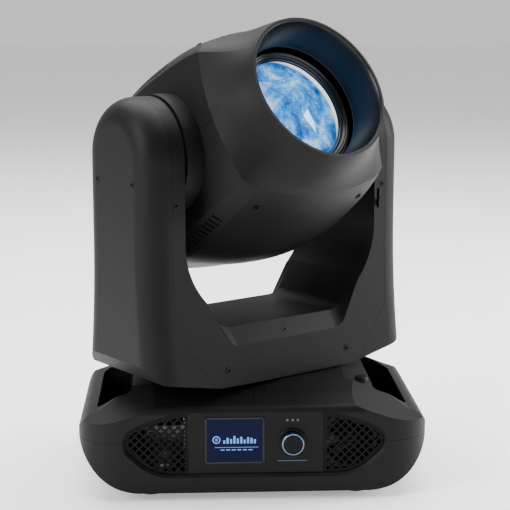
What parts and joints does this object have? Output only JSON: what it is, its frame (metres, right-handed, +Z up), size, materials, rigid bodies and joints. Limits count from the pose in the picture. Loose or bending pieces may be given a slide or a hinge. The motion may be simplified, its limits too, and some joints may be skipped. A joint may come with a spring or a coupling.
{
  "type": "moving head light",
  "caption": "Moving head stage light: box base with carrying handles, display and selector knob, a panning U-shaped yoke and a tilting head with hooded lens.",
  "frame": {"origin": "centre of the base on the pan axis, at the plane of the feet", "axes": "+Z up along the pan axis, -Y towards the display panel, +X to the right seen from the front"},
  "size_m": [0.408, 0.3578, 0.5475],
  "materials": {
    "charcoal_plastic": "fine textured matte",
    "black_plastic": "matte",
    "gloss_black": "gloss",
    "silver_blue": "satin silver-blue",
    "black_steel": "satin black powder coat",
    "sheet_steel": "zinc plated sheet",
    "bare_steel": "machined",
    "screw_steel": "black oxide",
    "aluminium": "mill finish",
    "motor_black": "black paint",
    "rubber": "matte",
    "screen_glass": "gloss",
    "lens_glass": "polished",
    "circuit_board": "solder mask"
  },
  "bodies": {
    "base": {"base_chassis": "sheet_steel", "base_cover_left": "charcoal_plastic", "base_cover_right": "charcoal_plastic", "base_fan_frame": "black_plastic", "base_screws": "screw_steel", "base_tray": "charcoal_plastic", "control_boards": "circuit_board", "data_connectors": "bare_steel", "display_screen": "screen_glass", "front_grilles": "black_steel", "front_panel": "black_plastic", "knob_flange": "black_plastic", "mount_receptacles": "bare_steel", "network_sockets": "bare_steel", "pan_pulley": "aluminium", "pan_shaft": "bare_steel", "power_connectors": "black_plastic", "power_supply": "aluminium", "rear_panel": "black_steel", "rubber_feet": "rubber", "safety_bar": "bare_steel"},
    "knob_ring": {"knob_ring": "silver_blue"},
    "knob_button": {"knob_button": "gloss_black"},
    "pan_lock": {"pan_lock_button": "black_plastic"},
    "base_fan": {"base_fan_rotor": "black_plastic"},
    "yoke": {"arm_cover_left": "charcoal_plastic", "arm_cover_right": "charcoal_plastic", "yoke_front_cover": "charcoal_plastic", "yoke_rear_cover": "charcoal_plastic", "yoke_screws": "screw_steel", "yoke_frame": "sheet_steel", "pan_bearing": "bare_steel", "pan_motor": "motor_black", "pan_belt": "rubber", "tilt_bearings": "bare_steel", "tilt_motor": "motor_black", "tilt_belt": "rubber"},
    "pan_pinion": {"pan_motor_pulley": "aluminium"},
    "tilt_pinion": {"tilt_motor_pulley": "aluminium"},
    "tilt_lock": {"tilt_lock_slider": "black_plastic"},
    "head": {"tilt_pulley": "aluminium", "tilt_shafts": "bare_steel", "head_upper_shell": "charcoal_plastic", "head_lower_shell": "charcoal_plastic", "front_hood": "charcoal_plastic", "lens_bezel": "black_plastic", "front_lens": "lens_glass", "head_chassis": "sheet_steel", "guide_rods": "bare_steel", "light_engine": "circuit_board", "heat_sink": "aluminium", "head_fan_frame": "black_plastic", "rear_grille": "black_steel", "wheel_motors": "motor_black", "head_screws": "screw_steel"},
    "focus": {"focus_carriage": "aluminium"},
    "head_fan": {"head_fan_rotor": "black_plastic"},
    "colour_wheel": {"colour_wheel": "aluminium"},
    "gobo_wheel": {"gobo_wheel": "aluminium"},
    "prism_wheel": {"prism_wheel": "aluminium"}
  },
  "joints": [
    {"name": "pan", "type": "hinge", "parent": "base", "child": "yoke", "pos_m": [0, 0, 0.15], "axis": [0, 0, 1], "range_deg": [-305, 235]},
    {"name": "tilt", "type": "hinge", "parent": "yoke", "child": "head", "pos_m": [0, 0, 0.392], "axis": [0.8192, 0.5736, 0], "range_deg": [-193.5, 76.5]},
    {"name": "pan_pinion_spin", "type": "hinge", "parent": "yoke", "child": "pan_pinion", "pos_m": [-0.05734, -0.04015, 0.165], "axis": [0, 0, 1], "range_deg": [-1200, 1540]},
    {"name": "tilt_pinion_spin", "type": "hinge", "parent": "yoke", "child": "tilt_pinion", "pos_m": [-0.14909, -0.10439, 0.282], "axis": [0.8192, 0.5736, 0], "range_deg": [-1000, 400]},
    {"name": "knob_turn", "type": "hinge", "parent": "base", "child": "knob_ring", "pos_m": [0.0435, -0.14, 0.067], "axis": [0, -1, 0], "continuous": true},
    {"name": "knob_press", "type": "slide", "parent": "base", "child": "knob_button", "axis": [0, 1, 0], "range_m": [0, 0.001], "stiffness_N_per_m": 800, "springref_m": -0.0005},
    {"name": "pan_lock_press", "type": "slide", "parent": "base", "child": "pan_lock", "axis": [0, 0, -1], "range_m": [0, 0.004]},
    {"name": "tilt_lock_slide", "type": "slide", "parent": "yoke", "child": "tilt_lock", "axis": [0, 0, 1], "range_m": [0, 0.009]},
    {"name": "base_fan_spin", "type": "hinge", "parent": "base", "child": "base_fan", "pos_m": [0.11, -0.12, 0.066], "axis": [0, -1, 0], "continuous": true},
    {"name": "head_fan_spin", "type": "hinge", "parent": "head", "child": "head_fan", "pos_m": [-0.06847, 0.09778, 0.31885], "axis": [0.4891, -0.6984, 0.5225], "continuous": true},
    {"name": "colour_wheel_spin", "type": "hinge", "parent": "head", "child": "colour_wheel", "pos_m": [-0.02541, 0.03629, 0.41645], "axis": [0.4891, -0.6984, 0.5225], "continuous": true},
    {"name": "gobo_wheel_spin", "type": "hinge", "parent": "head", "child": "gobo_wheel", "pos_m": [0.00487, -0.00696, 0.3456], "axis": [0.4891, -0.6984, 0.5225], "continuous": true},
    {"name": "prism_wheel_spin", "type": "hinge", "parent": "head", "child": "prism_wheel", "pos_m": [0.03802, 0.03287, 0.38887], "axis": [0.4891, -0.6984, 0.5225], "continuous": true},
    {"name": "focus_slide", "type": "slide", "parent": "head", "child": "focus", "axis": [0.4891, -0.6984, 0.5225], "range_m": [-0.018, 0.03]}
  ],
  "couplings": [
    {"joint": "pan_pinion_spin", "follows": "pan", "ratio": -4.8889},
    {"joint": "tilt_pinion_spin", "follows": "tilt", "ratio": 4.8889}
  ]
}
